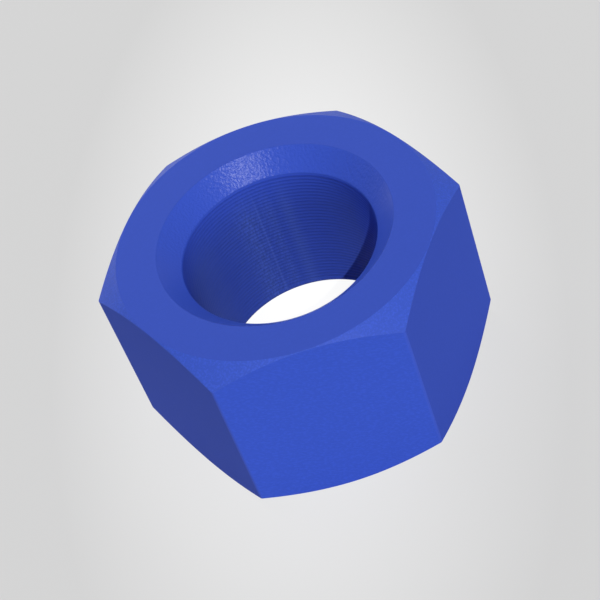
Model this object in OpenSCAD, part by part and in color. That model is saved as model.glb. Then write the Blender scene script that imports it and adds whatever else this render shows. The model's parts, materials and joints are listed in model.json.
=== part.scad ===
// Heavy hex nut, cut from hexagonal bar: one solid piece.
// It stands on its lower face at z = 0, with its bore along z and two of its flats square to y.

/* [Hexagon] */
// Width across two opposite flats, the size of the spanner that fits it
across_flats = 36; // [30:0.5:46]
// Height from the lower face to the upper face
height = 23; // [16:0.5:34]
// How much the lathe takes off the six upright corners, to break their edges
corner_break = 0.06; // [0.02:0.01:0.6]

/* [Corner chamfers] */
// Slope of the conical chamfers, measured from the plane of the face, in degrees
chamfer_angle = 35; // [15:1:45]
// How far the round edge of each face lies inside the flats
face_inset = 0.05; // [0.02:0.01:1]

/* [Bore] */
// Diameter of the bore, measured over the crests of its fine thread
bore_d = 22; // [16:0.5:24]
// Width of each countersink, from the wall of the bore to the rim on the face
sink_w = 2.35; // [0.5:0.05:2.8]
// Included angle of each countersink, in degrees
sink_angle = 90; // [60:5:120]

/* [Hidden] */

flat_r = across_flats / 2;
corner_r = flat_r / cos(30);
turned_r = corner_r - corner_break;
bore_r = bore_d / 2;

// Each face is a flat ring between its countersink and its corner chamfer
ring_inner_r = bore_r + sink_w;
ring_outer_r = flat_r - face_inset;
sink_depth = sink_w / tan(sink_angle / 2);
chamfer_drop = (turned_r - ring_outer_r) * tan(chamfer_angle);

// Half section of what the lathe leaves: bore, countersinks, faces, conical chamfers and corners
module turned_section() {
    polygon([
        [bore_r, sink_depth],
        [ring_inner_r, 0],
        [ring_outer_r, 0],
        [turned_r, chamfer_drop],
        [turned_r, height - chamfer_drop],
        [ring_outer_r, height],
        [ring_inner_r, height],
        [bore_r, height - sink_depth],
    ]);
}

// The nut: hexagonal bar, turned and bored about one axis.
// Where the cones of the chamfers run out into the flats, they leave the curved edges of a nut.
module nut() {
    color("royalblue")
        intersection() {
            cylinder(r = corner_r, h = height, $fn = 6);
            rotate_extrude($fn = 180) turned_section();
        }
}

nut();
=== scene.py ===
import json
import math

import bmesh
import bpy
from bpy.props import FloatProperty, FloatVectorProperty, IntProperty, PointerProperty
from mathutils import Euler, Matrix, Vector


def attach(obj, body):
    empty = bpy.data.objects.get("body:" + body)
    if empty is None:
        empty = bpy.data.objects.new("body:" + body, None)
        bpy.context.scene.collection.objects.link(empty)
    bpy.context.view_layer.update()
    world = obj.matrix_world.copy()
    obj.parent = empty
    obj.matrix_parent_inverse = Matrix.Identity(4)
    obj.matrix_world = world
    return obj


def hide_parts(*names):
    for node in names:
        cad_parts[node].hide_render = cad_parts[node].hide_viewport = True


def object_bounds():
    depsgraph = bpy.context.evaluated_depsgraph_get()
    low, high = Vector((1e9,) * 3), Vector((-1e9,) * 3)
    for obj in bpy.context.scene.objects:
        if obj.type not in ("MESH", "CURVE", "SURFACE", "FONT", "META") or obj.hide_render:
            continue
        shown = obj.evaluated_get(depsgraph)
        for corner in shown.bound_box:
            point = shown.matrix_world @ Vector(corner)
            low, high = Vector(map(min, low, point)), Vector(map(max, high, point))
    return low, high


bl_info = {
    "name": "Heavy hex nut",
    "version": (1, 0, 0),
    "blender": (4, 5, 0),
    "location": "View3D > Sidebar > Nut",
    "description": "Models a heavy hex nut with a fine thread and sets it on a studio floor",
    "category": "Add Mesh",
}

MM = 0.001
FLATS = 6
WHITE = (1.0, 1.0, 1.0, 1.0)

# Points that lie closer than this are merged
MERGE = 0.001 * MM
# Edges between faces that turn less than this are shaded smooth, in degrees
SMOOTH_BELOW = 25

# The grain of the coating: how its light peaks stand out from the darker ground
PEAK_SHARPNESS = 2.5
GROUND_SHARE, PEAK_SHARE = 0.6, 1.4
# How far the grain of the two drawn flats is stretched
DRAWN_STRETCH = 2.2
# The grain of the countersinks fades out between these places, from the back of the nut to its front
SINK_GRAIN_FROM, SINK_GRAIN_TO = 6 * MM, -2 * MM

# The angles in the bore are degrees round the nut, from its right side towards its back.
# Painted highlight streaks down the thread: their lightness by angle, which also lifts the walls that lie in
# shade
HIGHLIGHT_STREAKS = (
    (40, 0.5), (66, 0.1), (76, 0.15), (82, 0.8), (88, 0.2), (92, 0.65), (98, 0.4), (107, 1.0),
    (118, 0.4), (131, 0.3), (154, 1.0))
# The fine line down the thread: its angle, and its half width where it is full and where it ends
SEAM = 99.9
SEAM_FULL, SEAM_END = 0.04 * MM, 0.16 * MM
# Painted highlight on the crests and painted shade in the roots of the ridges, from where they show most to
# where they fade out
RIDGES_MOST, RIDGES_END, RIDGE_GAIN = 66, 145, 1.4
# The dashes, painted glints on the crests: the middle of their field, its half width where they are full and
# where they end
DASH_MIDDLE, DASH_FULL, DASH_END = 102, 10, 20
# How much longer than wide a column of dashes is
DASH_STRETCH = 4
# Where the bore is painted lighter: on the right side, as painted light in the shadow of the key light, and
# at the mouth, where the painted shade of the bore fades out
PAINTED_FILL_UP_TO, PAINTED_FILL_END = 26, 40
MOUTH_LENGTH = 5 * MM

# The soft lamps: the distance and the size of each, and its azimuth and elevation in degrees
BOX_DISTANCE = 0.6
BOX_SIZE = 0.35
LAMPS = {"side": (30, 14), "back": (180, 20), "corner": (-150, 12), "top": (-150, 72)}
# How wide the key light looks from the nut, in degrees
KEY_SPREAD = 0.6

# The pool of light on the floor: its middle, turn and reach, its tone at the edge, and its falloff
POOL_MIDDLE = (-0.4 * MM, 15.5 * MM, 0)
POOL_TURN = 82.2
POOL_REACH = (75.0 * MM, 32.0 * MM, 1)
POOL_EDGE = 0.825
POOL_FALLOFF = 2.2
# Painted light: the floor that shows through the bore glows this much brighter, within this radius, to make
# up for the shade inside the bore
BORE_PAINTED_LIGHT, BORE_PAINTED_LIGHT_RADIUS = 0.14, 13.3 * MM
FLOOR_RADIUS = 0.8

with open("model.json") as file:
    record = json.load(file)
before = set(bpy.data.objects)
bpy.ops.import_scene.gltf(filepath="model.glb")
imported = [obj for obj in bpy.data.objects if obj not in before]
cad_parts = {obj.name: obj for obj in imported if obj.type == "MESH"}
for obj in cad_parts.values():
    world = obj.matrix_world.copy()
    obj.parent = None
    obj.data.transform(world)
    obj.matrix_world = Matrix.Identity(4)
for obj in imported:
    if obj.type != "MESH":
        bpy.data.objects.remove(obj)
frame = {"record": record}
cad_low, cad_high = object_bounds()
thread_mount = next(m for m in frame["record"]["mounts"] if m["name"] == "thread")
thread_length = thread_mount["dims"]["length_mm"] * MM


class NutShape(bpy.types.PropertyGroup):
    """Sizes of the nut"""

    across_flats: FloatProperty(
        name="Across flats", description="Width across two opposite flats", unit="LENGTH",
        default=cad_high.y - cad_low.y)
    height: FloatProperty(
        name="Height", description="Height from the lower face to the upper face", unit="LENGTH",
        default=cad_high.z - cad_low.z)
    turned_radius: FloatProperty(
        name="Turned radius", description="Radius that the upright corners are turned to", unit="LENGTH",
        default=cad_high.x)
    bore_radius: FloatProperty(
        name="Bore radius", description="Radius of the bore over the crests of its thread", unit="LENGTH",
        default=thread_mount["dims"]["r_mm"] * MM)
    sink_depth: FloatProperty(
        name="Countersink depth", description="Depth of each countersink, which is also its width",
        unit="LENGTH", default=(cad_high.z - cad_low.z - thread_length) / 2)
    chamfer_slope: FloatProperty(
        name="Chamfer slope", description="Slope of the conical corner chamfers from the plane of the face",
        unit="ROTATION", default=math.radians(35))
    face_inset: FloatProperty(
        name="Face inset", description="How far the round edge of each face lies inside the flats",
        unit="LENGTH", default=0.05 * MM)
    edge_round: FloatProperty(
        name="Edge rounding", description="Width of the rounding on the edges of the flats", unit="LENGTH",
        default=0.09 * MM)
    rim_round: FloatProperty(
        name="Rim rounding", description="Width of the rounding on the rims of the countersinks",
        unit="LENGTH", default=0.06 * MM)
    mouth_round: FloatProperty(
        name="Mouth rounding", description="Width of the rounding where the bore meets its countersinks",
        unit="LENGTH", default=0.22 * MM)
    thread_pitch: FloatProperty(
        name="Thread pitch", description="Distance from one crest of the thread to the next", unit="LENGTH",
        default=0.5155 * MM)
    thread_depth: FloatProperty(
        name="Thread depth", description="Depth of the shallow grooves between the crests", unit="LENGTH",
        default=0.042 * MM)
    steps: IntProperty(
        name="Steps", description="Facets in one turn of the turned surfaces", default=288, min=48)


class NutFinish(bpy.types.PropertyGroup):
    """Colours, gloss and grain of the blue coating"""

    plain_blue: FloatVectorProperty(
        name="Plain blue", description="Colour of the smooth coating", subtype="COLOR", size=3, min=0.0,
        max=1.0, default=(0.0388, 0.0825, 0.505))
    face_blue: FloatVectorProperty(
        name="Face blue", description="Colour of the smooth coating on both faces", subtype="COLOR", size=3,
        min=0.0, max=1.0, default=(0.0415, 0.0885, 0.525))
    # Painted highlight: the upright edges are coloured lighter than the flats beside them
    edge_highlight_blue: FloatVectorProperty(
        name="Edge blue", description="Colour of the highlighted coating on the upright edges", subtype="COLOR",
        size=3, min=0.0, max=1.0, default=(0.0425, 0.093, 0.56))
    grained_blue: FloatVectorProperty(
        name="Grained blue", description="Colour of the coating where its grain shows", subtype="COLOR",
        size=3, min=0.0, max=1.0, default=(0.042, 0.0945, 0.57))
    # The chamfers are coloured lighter than the grained coating, as a painted highlight
    chamfer_highlight_blue: FloatVectorProperty(
        name="Chamfer blue", description="Colour of the coating on the corner chamfers", subtype="COLOR",
        size=3, min=0.0, max=1.0, default=(0.0482, 0.1035, 0.583))
    # The thread is coloured darker than the rest of the coating, as painted shade in the bore
    thread_shade_blue: FloatVectorProperty(
        name="Thread blue", description="Colour of the shadowed coating on the thread", subtype="COLOR",
        size=3, min=0.0, max=1.0, default=(0.034, 0.074, 0.44))
    # The streaks down the thread are a painted highlight
    streak_highlight_blue: FloatVectorProperty(
        name="Streak blue", description="Colour of the lighter streaks down the thread", subtype="COLOR",
        size=3, min=0.0, max=1.0, default=(0.056, 0.107, 0.468))
    seam_blue: FloatVectorProperty(
        name="Seam blue", description="Colour of the fine line down the thread", subtype="COLOR", size=3,
        min=0.0, max=1.0, default=(0.062, 0.117, 0.51))
    roughness: FloatProperty(
        name="Roughness", description="Roughness of the coating", min=0.0, max=1.0, default=0.6)
    chamfer_roughness: FloatProperty(
        name="Roughness of the chamfers", description="Roughness of the coating on the corner chamfers",
        min=0.0, max=1.0, default=0.5)
    sink_roughness: FloatProperty(
        name="Roughness of the countersinks", description="Roughness of the coating on the countersinks",
        min=0.0, max=1.0, default=0.29)
    flat_ior: FloatProperty(
        name="Index of the flats", description="Refractive index of the coating on the six flats",
        min=1.0, max=2.0, default=1.1)
    face_ior: FloatProperty(
        name="Index of the faces", description="Refractive index of the coating on both faces and the thread",
        min=1.0, max=2.0, default=1.18)
    chamfer_ior: FloatProperty(
        name="Index of the chamfers", description="Refractive index of the coating on the corner chamfers",
        min=1.0, max=2.0, default=1.2)
    sink_ior: FloatProperty(
        name="Index of the countersinks", description="Refractive index of the coating on the countersinks",
        min=1.0, max=2.0, default=1.26)
    grain_size: FloatProperty(
        name="Grain size", description="Distance between the bumps of the grain", unit="LENGTH",
        default=0.33 * MM)
    grain_contrast: FloatProperty(
        name="Grain contrast", description="How much lighter the bumps and darker the hollows are",
        min=0.0, max=1.0, default=0.04)
    chamfer_contrast: FloatProperty(
        name="Chamfer contrast", description="The same on the corner chamfers", min=0.0, max=1.0,
        default=0.075)
    # The crests are lightened as a painted highlight and the roots darkened as painted shade
    ridge_light_and_shade: FloatProperty(
        name="Ridge contrast", description="How much the crests are lightened and the roots darkened",
        min=0.0, max=1.0, default=0.115)
    # The dashes are painted glints on the crests of the thread
    glint_contrast: FloatProperty(
        name="Dash contrast", description="How much lighter the dashes at the back of the thread are",
        min=0.0, max=1.0, default=0.28)
    glint_size: FloatProperty(
        name="Dash size", description="Distance between the dashes along a ridge of the thread",
        unit="LENGTH", default=0.22 * MM)
    smooth_contrast: FloatProperty(
        name="Smooth contrast", description="The same where the coating is smooth", min=0.0, max=1.0,
        default=0.012)
    drawn_size: FloatProperty(
        name="Drawn grain size", description="Distance between the bumps on the front and the back flat",
        unit="LENGTH", default=0.22 * MM)
    sink_grain: FloatProperty(
        name="Grain on the countersinks", description="Height of the bumps on the countersinks",
        unit="LENGTH", default=0.085 * MM)
    chamfer_grain: FloatProperty(
        name="Grain on the chamfers", description="Height of the bumps on the corner chamfers",
        unit="LENGTH", default=0.045 * MM)
    smooth_grain: FloatProperty(
        name="Grain where smooth", description="Height of the bumps on the ring faces and the other flats",
        unit="LENGTH", default=0.008 * MM)
    flat_grain: FloatProperty(
        name="Grain on two flats", description="Height of the bumps on the front and the back flat",
        unit="LENGTH", default=0.03 * MM)
    drawn_angle: FloatProperty(
        name="Drawn angle", description="Slope of the stretched grain on the front and the back flat",
        unit="ROTATION", default=math.radians(25.2))


class NutStudio(bpy.types.PropertyGroup):
    """Camera, lamps and floor"""

    azimuth: FloatProperty(
        name="Azimuth", description="Camera direction round the nut, from straight in front",
        unit="ROTATION", default=math.radians(4.93))
    elevation: FloatProperty(
        name="Elevation", description="Camera direction above the horizon", unit="ROTATION",
        default=math.radians(46.07))
    roll: FloatProperty(
        name="Roll", description="Turn of the camera about its own line of sight", unit="ROTATION",
        default=math.radians(-21.28))
    distance: FloatProperty(
        name="Distance", description="Distance from the camera to the middle of the nut", unit="LENGTH",
        default=207.6 * MM)
    lens: FloatProperty(
        name="Lens", description="Focal length on a sensor 36 mm wide", unit="CAMERA", default=110.35)
    world_light: FloatProperty(
        name="Even light", description="Strength of the light from all sides", min=0.0, default=0.01)
    backdrop: FloatProperty(
        name="Backdrop", description="Brightness of the background above the floor", min=0.0, max=1.0,
        default=0.658)
    floor_shadow: FloatProperty(
        name="Floor shadow", description="Share of the floor's brightness that comes from the lamps",
        min=0.0, max=1.0, default=0.12)
    key_azimuth: FloatProperty(
        name="Key azimuth", description="Direction of the key light round the nut", unit="ROTATION",
        default=math.radians(10.6))
    key_elevation: FloatProperty(
        name="Key elevation", description="Height of the key light above the horizon", unit="ROTATION",
        default=math.radians(45.6))
    key_light: FloatProperty(
        name="Key light", description="Strength of the key light", min=0.0, default=2.04)
    side_light: FloatProperty(
        name="Side light", description="Radiance of the soft lamp in front on the right", min=0.0,
        default=2.15)
    back_light: FloatProperty(
        name="Back light", description="Radiance of the soft lamp behind", min=0.0, default=2.2)
    corner_light: FloatProperty(
        name="Corner light", description="Radiance of the low soft lamp behind on the left", min=0.0,
        default=2.15)
    top_light: FloatProperty(
        name="Top light", description="Radiance of the soft lamp high up behind on the left", min=0.0,
        default=2.7)


def clear_selection():
    """Leaves edit mode and deselects everything, so that an operator acts on its own piece alone"""
    if bpy.context.object and bpy.context.object.mode != "OBJECT":
        bpy.ops.object.mode_set(mode="OBJECT")
    bpy.ops.object.select_all(action="DESELECT")


def edit(piece):
    """Makes the piece active and enters edit mode on it"""
    clear_selection()
    piece.select_set(True)
    bpy.context.view_layer.objects.active = piece
    bpy.ops.object.mode_set(mode="EDIT")


def select_where(piece, kind, test):
    """Selects the vertices, edges or faces that pass the test, in edit mode; it is an error if none do"""
    bpy.ops.mesh.select_all(action="DESELECT")
    bpy.ops.mesh.select_mode(type={"verts": "VERT", "edges": "EDGE", "faces": "FACE"}[kind])
    mesh = bmesh.from_edit_mesh(piece.data)
    chosen = [part for part in getattr(mesh, kind) if test(part)]
    if not chosen:
        raise RuntimeError(f"{piece.name} has no {kind} of the kind that was looked for")
    for part in chosen:
        part.select_set(True)
    mesh.select_flush_mode()
    bmesh.update_edit_mesh(piece.data)


def near(a, b, tolerance=0.002 * MM):
    """Whether two lengths are the same but for rounding"""
    return abs(a - b) < tolerance


def middle(part):
    """Middle of an edge"""
    return (part.verts[0].co + part.verts[1].co) / 2


def standing_plane(name, left, low, width, height):
    """A plane that stands in the XZ plane, in edit mode and all selected"""
    clear_selection()
    bpy.ops.mesh.primitive_plane_add(
        size=1, location=(left + width / 2, 0, low + height / 2), rotation=(math.radians(90), 0, 0))
    piece = bpy.context.object
    piece.name = name
    bpy.ops.object.transform_apply(location=True, rotation=True, scale=True)
    edit(piece)
    bpy.ops.mesh.select_all(action="SELECT")
    bpy.ops.transform.resize(
        value=(width, 1, height), center_override=(left + width / 2, 0, low + height / 2))
    return piece


def cut(at, normal, fill=False):
    """Cuts off everything on the side that the normal points to"""
    bpy.ops.mesh.select_all(action="SELECT")
    bpy.ops.mesh.bisect(plane_co=at, plane_no=normal, use_fill=fill, clear_outer=True, threshold=1e-7)


def half_section(shape):
    """The turned half section of the nut, as edges that are open where the thread will be"""
    bore, height = shape.bore_radius, shape.height
    rim = bore + shape.sink_depth
    face_edge = shape.across_flats / 2 - shape.face_inset
    piece = standing_plane("nut", bore, 0, shape.turned_radius - bore, height)
    slope = shape.chamfer_slope
    for face, up in ((0, -1), (height, 1)):
        cut((rim, 0, face), (-1, 0, up))
        cut((face_edge, 0, face), (math.sin(slope), 0, up * math.cos(slope)))
    for radius, rounding in ((rim, shape.rim_round), (bore, shape.mouth_round)):
        select_where(piece, "verts", lambda v: near(v.co.x, radius))
        bpy.ops.mesh.bevel(offset=rounding, segments=3, affect="VERTICES")
    bpy.ops.mesh.select_all(action="SELECT")
    bpy.ops.mesh.delete(type="ONLY_FACE")
    select_where(
        piece, "edges",
        lambda e: near(middle(e).x, bore) and abs(e.verts[0].co.z - e.verts[1].co.z) > shape.sink_depth)
    bpy.ops.mesh.delete(type="EDGE")
    return piece


def turn_body(shape):
    """The nut without its thread: the section spun round, and six flats cut"""
    piece = half_section(shape)
    bpy.ops.mesh.select_all(action="SELECT")
    bpy.ops.mesh.spin(steps=shape.steps, angle=2 * math.pi, center=(0, 0, 0), axis=(0, 0, 1))
    bpy.ops.mesh.select_all(action="SELECT")
    bpy.ops.mesh.remove_doubles(threshold=MERGE)
    bpy.ops.transform.rotate(
        value=math.pi / shape.steps, orient_axis="Z", center_override=(0, 0, 0))
    for flat in range(FLATS):
        turn = math.radians(360 * (flat + 0.5) / FLATS)
        outward = Vector((math.cos(turn), math.sin(turn), 0))
        cut(outward * shape.across_flats / 2, outward, fill=True)
    return piece


def soften_flats(piece, shape):
    """Rounds the edges of the flats, and less where a chamfer runs out to nothing"""
    flat_radius = shape.across_flats / 2
    room = 0.45
    most_on_cones = 0.5

    def share(edge):
        if len(edge.link_faces) != 2:
            return 0.0
        flats = [f for f in edge.link_faces if abs(f.normal.z) < 0.01
                 and near(f.calc_center_median().to_2d().length, flat_radius, 0.05 * MM)]
        if not flats or edge.calc_face_angle() < math.radians(10):
            return 0.0
        if edge.calc_length() > shape.height / 2:
            return 1.0
        band = middle(edge).to_2d().length - flat_radius + shape.face_inset
        return min(most_on_cones, room * band / shape.edge_round)

    bpy.ops.object.mode_set(mode="OBJECT")
    mesh = bmesh.new()
    mesh.from_mesh(piece.data)
    weight = mesh.edges.layers.float.new("bevel_weight_edge")
    for edge in mesh.edges:
        edge[weight] = share(edge)
    mesh.to_mesh(piece.data)
    mesh.free()
    rounding = piece.modifiers.new("Edge rounding", "BEVEL")
    rounding.limit_method = "WEIGHT"
    rounding.width = shape.edge_round
    rounding.segments = 3
    rounding.use_clamp_overlap = False
    bpy.ops.object.modifier_apply(modifier=rounding.name)


def thread_tube(shape):
    """The wall of the bore: one ridge of the thread, screwed round and trimmed to its length"""
    pitch, bore = shape.thread_pitch, shape.bore_radius
    turns = math.ceil(thread_length / pitch) + 2
    low = shape.height / 2 - turns * pitch / 2
    piece = standing_plane("thread", bore, low, pitch, pitch)
    select_where(piece, "verts", lambda v: v.co.x > bore + pitch / 2)
    bpy.ops.mesh.delete(type="VERT")
    bpy.ops.mesh.select_all(action="SELECT")
    bpy.ops.mesh.subdivide(number_cuts=3)
    for height, depth in ((0.25, 0.5), (0.5, 1.0), (0.75, 0.5)):
        select_where(piece, "verts", lambda v: near(v.co.z, low + height * pitch))
        bpy.ops.transform.translate(value=(depth * shape.thread_depth, 0, 0))
    bpy.ops.object.mode_set(mode="OBJECT")
    screw = piece.modifiers.new("Thread", "SCREW")
    screw.axis = "Z"
    screw.screw_offset = pitch
    screw.iterations = turns
    screw.steps = shape.steps
    screw.render_steps = shape.steps
    screw.use_merge_vertices = True
    screw.merge_threshold = MERGE
    bpy.ops.object.modifier_apply(modifier=screw.name)
    edit(piece)
    bpy.ops.mesh.select_all(action="SELECT")
    bpy.ops.mesh.remove_doubles(threshold=MERGE)
    margin = shape.sink_depth + 2 * shape.mouth_round
    cut((0, 0, shape.height - margin), (0, 0, 1))
    cut((0, 0, margin), (0, 0, -1))
    return piece


def crisp_thread(piece, shape):
    """Keeps the crests and the roots of the thread sharp"""
    lines = (shape.bore_radius, shape.bore_radius + shape.thread_depth)
    edit(piece)
    select_where(
        piece, "edges",
        lambda e: any(all(near(v.co.to_2d().length, line) for v in e.verts) for line in lines))
    bpy.ops.mesh.mark_sharp()
    bpy.ops.object.mode_set(mode="OBJECT")


def check_closed(piece):
    """Stops the script where the mesh has an open edge, or an edge between more than two faces"""
    mesh = bmesh.new()
    mesh.from_mesh(piece.data)
    loose = sum(1 for edge in mesh.edges if not edge.is_manifold)
    mesh.free()
    if loose:
        raise RuntimeError(f"{piece.name} isn't closed: {loose} edges are open")


def build_nut(shape):
    """The finished mesh of the nut"""
    piece = turn_body(shape)
    soften_flats(piece, shape)
    thread = thread_tube(shape)
    clear_selection()
    thread.select_set(True)
    piece.select_set(True)
    bpy.context.view_layer.objects.active = piece
    bpy.ops.object.join()
    edit(piece)
    half = shape.height / 2
    for above in (True, False):
        select_where(
            piece, "edges", lambda e: len(e.link_faces) == 1 and (middle(e).z > half) == above)
        bpy.ops.mesh.bridge_edge_loops()
    bpy.ops.mesh.select_all(action="SELECT")
    bpy.ops.mesh.normals_make_consistent(inside=False)
    bpy.ops.object.mode_set(mode="OBJECT")
    bpy.ops.object.shade_smooth_by_angle(angle=math.radians(SMOOTH_BELOW))
    crisp_thread(piece, shape)
    even = piece.modifiers.new("Face normals", "WEIGHTED_NORMAL")
    even.mode = "FACE_AREA"
    even.keep_sharp = True
    bpy.ops.object.modifier_apply(modifier=even.name)
    check_closed(piece)
    return piece


class Nodes:
    """A node tree that is being filled in, with short calls to add and to link its nodes"""

    def __init__(self, tree):
        self.tree = tree

    def add(self, kind, inputs=None, **settings):
        """Adds a node, sets it, and fills its inputs with values or links"""
        node = self.tree.nodes.new(kind)
        for name, value in settings.items():
            setattr(node, name, value)
        for name, value in (inputs or {}).items():
            socket = node.inputs[name]
            if isinstance(value, bpy.types.NodeSocket):
                self.tree.links.new(value, socket)
            else:
                socket.default_value = value
        return node

    def math(self, operation, *values):
        """Adds a Math node and gives its result"""
        return self.add("ShaderNodeMath", dict(enumerate(values)), operation=operation).outputs[0]

    def blend(self, value, start, end, first=0.0, last=1.0):
        """Adds a result that goes from first to last as the value goes from start to end"""
        return self.add(
            "ShaderNodeMapRange",
            {"Value": value, "From Min": start, "From Max": end, "To Min": first, "To Max": last}).outputs[0]


def rgba(colour):
    """A colour with its alpha"""
    return (*colour, 1.0)


def new_material(name):
    """An empty material and the node tree to fill"""
    material = bpy.data.materials.new(name)
    material.use_nodes = True
    material.node_tree.nodes.clear()
    return material, Nodes(material.node_tree)


def grain_group():
    """The fine grain of the coating: its height, and a mask that is light on its bumps"""
    tree = bpy.data.node_groups.new("coat_grain", "ShaderNodeTree")
    face = tree.interface
    face.new_socket(name="Place", in_out="INPUT", socket_type="NodeSocketVector")
    face.new_socket(name="Size", in_out="INPUT", socket_type="NodeSocketFloat")
    face.new_socket(name="Height", in_out="OUTPUT", socket_type="NodeSocketFloat")
    face.new_socket(name="Bumps", in_out="OUTPUT", socket_type="NodeSocketFloat")
    nodes = Nodes(tree)
    given = nodes.add("NodeGroupInput")
    scale = nodes.math("DIVIDE", 1.0, given.outputs["Size"])
    fine = nodes.add(
        "ShaderNodeTexNoise",
        {"Vector": given.outputs["Place"], "Scale": scale, "Detail": 2.0, "Roughness": 0.5})
    bumps = nodes.add(
        "ShaderNodeMapRange",
        {"Value": fine.outputs[0], "From Min": 0.35, "From Max": 0.65}, interpolation_type="SMOOTHSTEP")
    result = nodes.add("NodeGroupOutput")
    tree.links.new(fine.outputs[0], result.inputs["Height"])
    tree.links.new(bumps.outputs[0], result.inputs["Bumps"])
    return tree


def mix_colours(nodes, mask, dark, light):
    """Adds a colour that goes from dark to light with the mask"""
    mixed = nodes.add("ShaderNodeMix", data_type="RGBA")
    for number, value in ((0, mask), (6, dark), (7, light)):
        if isinstance(value, bpy.types.NodeSocket):
            nodes.tree.links.new(value, mixed.inputs[number])
        else:
            mixed.inputs[number].default_value = rgba(value)
    return mixed.outputs[2]


def finish_coat(material, nodes, gloss, colour, height, depth):
    """Adds the bumps and the shader of a coating; gloss is its roughness and refractive index"""
    roughness, index = gloss
    bump = nodes.add("ShaderNodeBump", {"Height": height, "Distance": depth, "Strength": 1.0})
    shader = nodes.add(
        "ShaderNodeBsdfPrincipled",
        {"Base Color": colour, "Roughness": roughness, "IOR": index, "Normal": bump.outputs[0]})
    nodes.add("ShaderNodeOutputMaterial", {"Surface": shader.outputs[0]})
    return material


def shade(colour, share):
    """A colour made lighter by that share, or darker where the share is below zero"""
    return tuple(level * (1 + share) for level in colour)


def coat(name, grain, colour, gloss, grit, angle=0.0, stretch=1.0, smooth_front=False):
    """A matt coating with a fine grain; grit is the size, the height and the contrast of its bumps"""
    size, depth, contrast = grit
    material, nodes = new_material(name)
    place = nodes.add("ShaderNodeTexCoord").outputs["Object"]
    mapped = nodes.add(
        "ShaderNodeMapping",
        {"Vector": place, "Rotation": (0, angle, 0), "Scale": (stretch, 1, 1)}, vector_type="TEXTURE")
    group = nodes.add(
        "ShaderNodeGroup", {"Place": mapped.outputs[0], "Size": size}, node_tree=grain)
    peaks = nodes.math("POWER", group.outputs["Bumps"], PEAK_SHARPNESS)
    tone = mix_colours(
        nodes, peaks, shade(colour, -GROUND_SHARE * contrast), shade(colour, PEAK_SHARE * contrast))
    height = group.outputs["Height"]
    if smooth_front:
        axes = nodes.add("ShaderNodeSeparateXYZ", {0: place}).outputs
        height = nodes.math("MULTIPLY", height, nodes.blend(axes["Y"], SINK_GRAIN_TO, SINK_GRAIN_FROM))
    return finish_coat(material, nodes, gloss, tone, height, depth)


def thread_highlight_streaks(nodes, around):
    """Adds the lightness of the painted highlight streaks down the thread, from the angle round the nut"""
    ramp = nodes.add(
        "ShaderNodeValToRGB", {"Fac": nodes.math("DIVIDE", around, math.pi)})
    stops = ramp.color_ramp.elements
    while len(stops) > 1:
        stops.remove(stops[-1])
    for number, (degrees, level) in enumerate(HIGHLIGHT_STREAKS):
        stop = stops.new(degrees / 180) if number else stops[0]
        stop.position = degrees / 180
        stop.color = (level, level, level, 1)
    return ramp.outputs[0]


def off_angle(nodes, around, degrees):
    """Adds how far the angle round the nut is from that many degrees"""
    return nodes.math("ABSOLUTE", nodes.math("SUBTRACT", around, math.radians(degrees)))


def ridge_shading_mask(nodes, axes, around, shape):
    """Adds how deep in its groove a point lies: 0 on a crest, 1 in a root, and in between where they fade; it
    places the painted highlight and the painted shade of the ridges
    """
    across = nodes.add("ShaderNodeCombineXYZ", {"X": axes["X"], "Y": axes["Y"]})
    radius = nodes.add("ShaderNodeVectorMath", {0: across.outputs[0]}, operation="LENGTH").outputs["Value"]
    depth = nodes.math("DIVIDE", nodes.math("SUBTRACT", radius, shape.bore_radius), shape.thread_depth)
    strength = nodes.blend(
        around, math.radians(RIDGES_MOST), math.radians(RIDGES_END), first=RIDGE_GAIN, last=0.0)
    return nodes.math("MULTIPLY_ADD", nodes.math("SUBTRACT", depth, 0.5), strength, 0.5)


def thread_glints(nodes, axes, around, size, grain, shape):
    """Adds upright columns of dashes at the back of the bore, painted glints: 1 on a dash, 0 between, 0.5
    elsewhere
    """
    rolled_out = nodes.add(
        "ShaderNodeCombineXYZ",
        {"X": nodes.math("MULTIPLY", around, shape.bore_radius),
         "Z": nodes.math("DIVIDE", axes["Z"], DASH_STRETCH)})
    dashes = nodes.add(
        "ShaderNodeGroup", {"Place": rolled_out.outputs[0], "Size": size}, node_tree=grain)
    at_back = nodes.blend(
        off_angle(nodes, around, DASH_MIDDLE), math.radians(DASH_FULL), math.radians(DASH_END),
        first=1.0, last=0.0)
    return nodes.math("MULTIPLY_ADD", nodes.math("SUBTRACT", dashes.outputs["Bumps"], 0.5), at_back, 0.5)


def painted_bore_light(nodes, axes, around, shape):
    """Adds where the bore is painted lighter: on the right side, painted light in the key light's shadow, and
    at the mouth, where its painted shade fades out
    """
    thread_top = shape.height - shape.sink_depth
    mouth = nodes.blend(axes["Z"], thread_top - MOUTH_LENGTH, thread_top)
    right = nodes.blend(around, math.radians(PAINTED_FILL_UP_TO), math.radians(PAINTED_FILL_END), first=1.0, last=0.0)
    return nodes.math("MAXIMUM", mouth, right)


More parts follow.
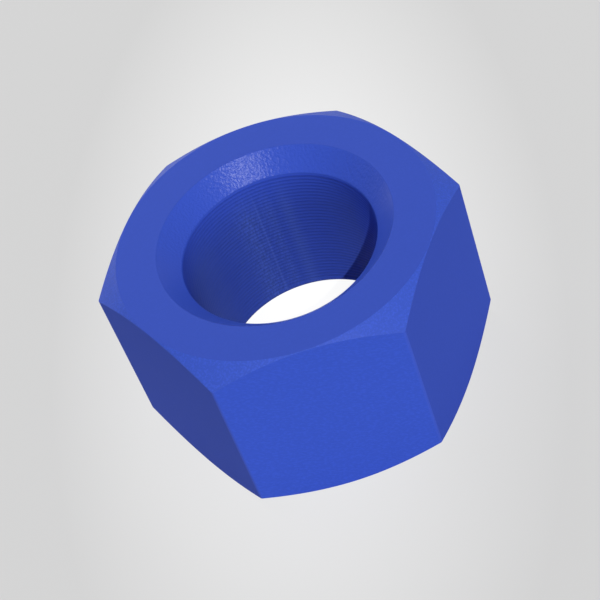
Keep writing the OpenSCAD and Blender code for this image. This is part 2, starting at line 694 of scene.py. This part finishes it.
def thread_coat(gloss, finish, grain, shape):
    """The coating of the thread, darkened as painted shade in the bore, with painted light and shade on its
    ridges, painted highlight streaks and glints, and one fine line
    """
    material, nodes = new_material("thread_coat")
    place = nodes.add("ShaderNodeTexCoord").outputs["Object"]
    axes = nodes.add("ShaderNodeSeparateXYZ", {0: place}).outputs
    around = nodes.math("ARCTAN2", axes["Y"], axes["X"])
    seam = nodes.blend(
        nodes.math("MULTIPLY", off_angle(nodes, around, SEAM), shape.bore_radius), SEAM_FULL, SEAM_END,
        first=1.0, last=0.0)
    streaks = thread_highlight_streaks(nodes, around)
    dashes = thread_glints(nodes, axes, around, finish.glint_size, grain, shape)
    lit_bore = painted_bore_light(nodes, axes, around, shape)

    def tone(share, dash):
        dashed = mix_colours(
            nodes, dashes, shade(finish.streak_highlight_blue, share - dash), shade(finish.streak_highlight_blue, share + dash))
        thin = mix_colours(nodes, streaks, shade(finish.thread_shade_blue, share), dashed)
        marked = mix_colours(nodes, seam, thin, shade(finish.seam_blue, share))
        return mix_colours(nodes, lit_bore, marked, shade(finish.grained_blue, share))

    # The crests take a painted highlight, the roots painted shade
    crest = tone(finish.ridge_light_and_shade, finish.glint_contrast)
    root = tone(-finish.ridge_light_and_shade, 0)
    colour = mix_colours(nodes, ridge_shading_mask(nodes, axes, around, shape), crest, root)
    group = nodes.add("ShaderNodeGroup", {"Place": place, "Size": finish.grain_size}, node_tree=grain)
    return finish_coat(
        material, nodes, gloss, colour, group.outputs["Height"], finish.flat_grain / 2)


def give_finishes(piece, shape, finish):
    """The finishes of the nut, each on its own faces"""
    grain = grain_group()
    flats = (finish.roughness, finish.flat_ior)
    faces = (finish.roughness, finish.face_ior)
    chamfers = (finish.chamfer_roughness, finish.chamfer_ior)
    sinks = (finish.sink_roughness, finish.sink_ior)
    turned = (finish.grain_size, finish.sink_grain, finish.smooth_contrast)
    fine = (finish.drawn_size, finish.chamfer_grain, finish.chamfer_contrast)
    drawn = (finish.drawn_size, finish.flat_grain, finish.grain_contrast)
    smooth = (finish.grain_size, finish.smooth_grain, finish.smooth_contrast)
    materials = (
        coat("chamfer_coat", grain, finish.chamfer_highlight_blue, chamfers, fine),
        coat("sink_coat", grain, finish.grained_blue, sinks, turned, smooth_front=True),
        coat("flat_coat", grain, finish.plain_blue, flats, smooth),
        # The upright edges take a lighter colour, a painted highlight
        coat("edge_coat", grain, finish.edge_highlight_blue, faces, smooth),
        coat("face_coat", grain, finish.face_blue, faces, smooth),
        coat("drawn_coat", grain, finish.grained_blue, flats, drawn, finish.drawn_angle, DRAWN_STRETCH),
        thread_coat(faces, finish, grain, shape),
    )
    for material in materials:
        piece.data.materials.append(material)
    edit(piece)
    rim = shape.bore_radius + shape.sink_depth + shape.rim_round
    wall = shape.bore_radius + 2 * shape.thread_depth

    def inside(face):
        return face.calc_center_median().to_2d().length < rim

    tests = (
        inside,
        lambda f: abs(f.normal.z) < 0.001,
        lambda f: abs(f.normal.z) < 0.001 and f.calc_area() < shape.height * MM,
        lambda f: abs(f.normal.z) > (0.72 if inside(f) else 0.999),
        lambda f: abs(f.normal.y) > 0.999,
        lambda f: all(v.co.to_2d().length < wall for v in f.verts),
    )
    for number, test in enumerate(tests, 1):
        select_where(piece, "faces", test)
        piece.active_material_index = number
        bpy.ops.object.material_slot_assign()
    bpy.ops.object.mode_set(mode="OBJECT")


class MESH_OT_heavy_hex_nut(bpy.types.Operator):
    """Models the nut in place of its plain solid"""

    bl_idname = "mesh.heavy_hex_nut"
    bl_label = "Heavy hex nut"

    def execute(self, context):
        shape, finish = context.scene.nut_shape, context.scene.nut_finish
        piece = build_nut(shape)
        piece.name = "heavy_hex_nut"
        give_finishes(piece, shape, finish)
        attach(piece, "root")
        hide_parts("nut")
        return {"FINISHED"}


def seen_by_eye(nodes):
    """Adds a value that is 1 for the camera, and for what it sees in gloss and through glass"""
    path = nodes.add("ShaderNodeLightPath").outputs
    in_gloss = nodes.math("MAXIMUM", path["Is Glossy Ray"], path["Is Transmission Ray"])
    return nodes.math("MAXIMUM", path["Is Camera Ray"], in_gloss)


def floor_level(nodes, place):
    """Adds the brightness of the floor: a pool of light round the nut, that fades to plain pale grey, and a
    painted light under the bore
    """
    mapped = nodes.add(
        "ShaderNodeMapping",
        {"Vector": place, "Location": POOL_MIDDLE, "Rotation": (0, 0, math.radians(POOL_TURN)),
         "Scale": POOL_REACH}, vector_type="TEXTURE")
    reach = nodes.add("ShaderNodeVectorMath", {0: mapped.outputs[0]}, operation="LENGTH")
    tone = nodes.blend(reach.outputs["Value"], 0.0, 1.0, first=1.0, last=POOL_EDGE)
    pool = nodes.math("POWER", tone, POOL_FALLOFF)
    from_middle = nodes.add("ShaderNodeVectorMath", {0: place}, operation="LENGTH")
    painted_light_under_bore = nodes.math("LESS_THAN", from_middle.outputs["Value"], BORE_PAINTED_LIGHT_RADIUS)
    return nodes.math("MULTIPLY_ADD", painted_light_under_bore, BORE_PAINTED_LIGHT, pool)


def add_floor(studio):
    """A pale floor, mostly bright by itself and partly lit, so that it keeps the shadow of the nut"""
    clear_selection()
    bpy.ops.mesh.primitive_circle_add(
        vertices=96, radius=FLOOR_RADIUS, fill_type="NGON", location=(0, 0, 0))
    floor = bpy.context.object
    floor.name = "floor"
    material, nodes = new_material("pale_floor")
    place = nodes.add("ShaderNodeTexCoord").outputs["Object"]
    bright = nodes.add("ShaderNodeEmission", {"Color": WHITE, "Strength": floor_level(nodes, place)})
    matt = nodes.add("ShaderNodeBsdfDiffuse", {"Color": (0.8, 0.8, 0.8, 1)})
    mixed = nodes.add(
        "ShaderNodeMixShader", {0: studio.floor_shadow, 1: bright.outputs[0], 2: matt.outputs[0]})
    shown = nodes.add(
        "ShaderNodeMixShader", {0: seen_by_eye(nodes), 1: matt.outputs[0], 2: mixed.outputs[0]})
    nodes.add("ShaderNodeOutputMaterial", {"Surface": shown.outputs[0]})
    floor.data.materials.append(material)


def add_world(studio):
    """A little even light from all sides, and a pale background"""
    world = bpy.data.worlds.new("studio")
    world.use_nodes = True
    world.node_tree.nodes.clear()
    nodes = Nodes(world.node_tree)
    strength = nodes.blend(seen_by_eye(nodes), 0.0, 1.0, first=studio.world_light, last=studio.backdrop)
    background = nodes.add("ShaderNodeBackground", {"Color": WHITE, "Strength": strength})
    nodes.add("ShaderNodeOutputWorld", {"Surface": background.outputs[0]})
    bpy.context.scene.world = world


def direction(azimuth, elevation):
    """The direction that lies that far round from straight in front, and that far above the horizon"""
    return Vector((
        math.sin(azimuth) * math.cos(elevation),
        -math.cos(azimuth) * math.cos(elevation),
        math.sin(elevation)))


def add_light(name, kind, towards):
    """A light that shines from that direction"""
    data = bpy.data.lights.new(name, kind)
    light = bpy.data.objects.new(name, data)
    bpy.context.scene.collection.objects.link(light)
    light.rotation_euler = towards.to_track_quat("Z", "Y").to_euler()
    return light, data


def add_key(studio):
    """The light that throws the crisp shadow inside the bore"""
    light, data = add_light("key", "SUN", direction(studio.key_azimuth, studio.key_elevation))
    data.energy = studio.key_light
    data.angle = math.radians(KEY_SPREAD)


def add_softbox(name, target, azimuth, elevation, radiance):
    """A square soft lamp that faces the target"""
    towards = direction(azimuth, elevation)
    light, data = add_light(name, "AREA", towards)
    light.location = target + towards * BOX_DISTANCE
    data.shape = "SQUARE"
    data.size = BOX_SIZE
    data.energy = radiance * math.pi * BOX_SIZE ** 2


def add_camera(studio, target):
    """The camera, aimed at the middle of the nut and rolled as the picture is"""
    data = bpy.data.cameras.new("camera")
    data.sensor_width = 36
    data.lens = studio.lens
    data.clip_start = 10 * MM
    camera = bpy.data.objects.new("camera", data)
    bpy.context.scene.collection.objects.link(camera)
    back = direction(studio.azimuth, studio.elevation)
    camera.location = target + back * studio.distance
    aim = (-back).to_track_quat("-Z", "Y")
    camera.rotation_mode = "QUATERNION"
    camera.rotation_quaternion = aim @ Euler((0, 0, studio.roll)).to_quaternion()
    bpy.context.scene.camera = camera


class SCENE_OT_nut_stage(bpy.types.Operator):
    """Sets the floor, the lamps and the camera"""

    bl_idname = "scene.nut_stage"
    bl_label = "Studio"

    def execute(self, context):
        scene = context.scene
        studio = scene.nut_studio
        target = Vector((0, 0, scene.nut_shape.height / 2))
        add_floor(studio)
        add_world(studio)
        add_key(studio)
        for name, (azimuth, elevation) in LAMPS.items():
            radiance = getattr(studio, f"{name}_light")
            add_softbox(name, target, math.radians(azimuth), math.radians(elevation), radiance)
        add_camera(studio, target)
        scene.view_settings.view_transform = "Standard"
        return {"FINISHED"}


class VIEW3D_PT_nut(bpy.types.Panel):
    """Sizes, finish and studio of the nut"""

    bl_label = "Heavy hex nut"
    bl_space_type = "VIEW_3D"
    bl_region_type = "UI"
    bl_category = "Nut"

    def draw(self, context):
        groups = (
            ("nut_shape", MESH_OT_heavy_hex_nut), ("nut_finish", None), ("nut_studio", SCENE_OT_nut_stage))
        for group, operator in groups:
            settings = getattr(context.scene, group)
            box = self.layout.box()
            for name in settings.bl_rna.properties.keys():
                if name not in ("rna_type", "name"):
                    box.prop(settings, name)
            if operator:
                box.operator(operator.bl_idname)


CLASSES = (NutShape, NutFinish, NutStudio, MESH_OT_heavy_hex_nut, SCENE_OT_nut_stage, VIEW3D_PT_nut)


def register():
    """Registers the classes and gives the scene its settings"""
    for entry in CLASSES:
        bpy.utils.register_class(entry)
    bpy.types.Scene.nut_shape = PointerProperty(type=NutShape)
    bpy.types.Scene.nut_finish = PointerProperty(type=NutFinish)
    bpy.types.Scene.nut_studio = PointerProperty(type=NutStudio)


def unregister():
    """Takes the settings and the classes away again"""
    del bpy.types.Scene.nut_studio
    del bpy.types.Scene.nut_finish
    del bpy.types.Scene.nut_shape
    for entry in reversed(CLASSES):
        bpy.utils.unregister_class(entry)


def main():
    """Registers the settings, then builds the nut and its stage"""
    register()
    bpy.ops.mesh.heavy_hex_nut()
    bpy.ops.scene.nut_stage()


if __name__ == "__main__":
    main()
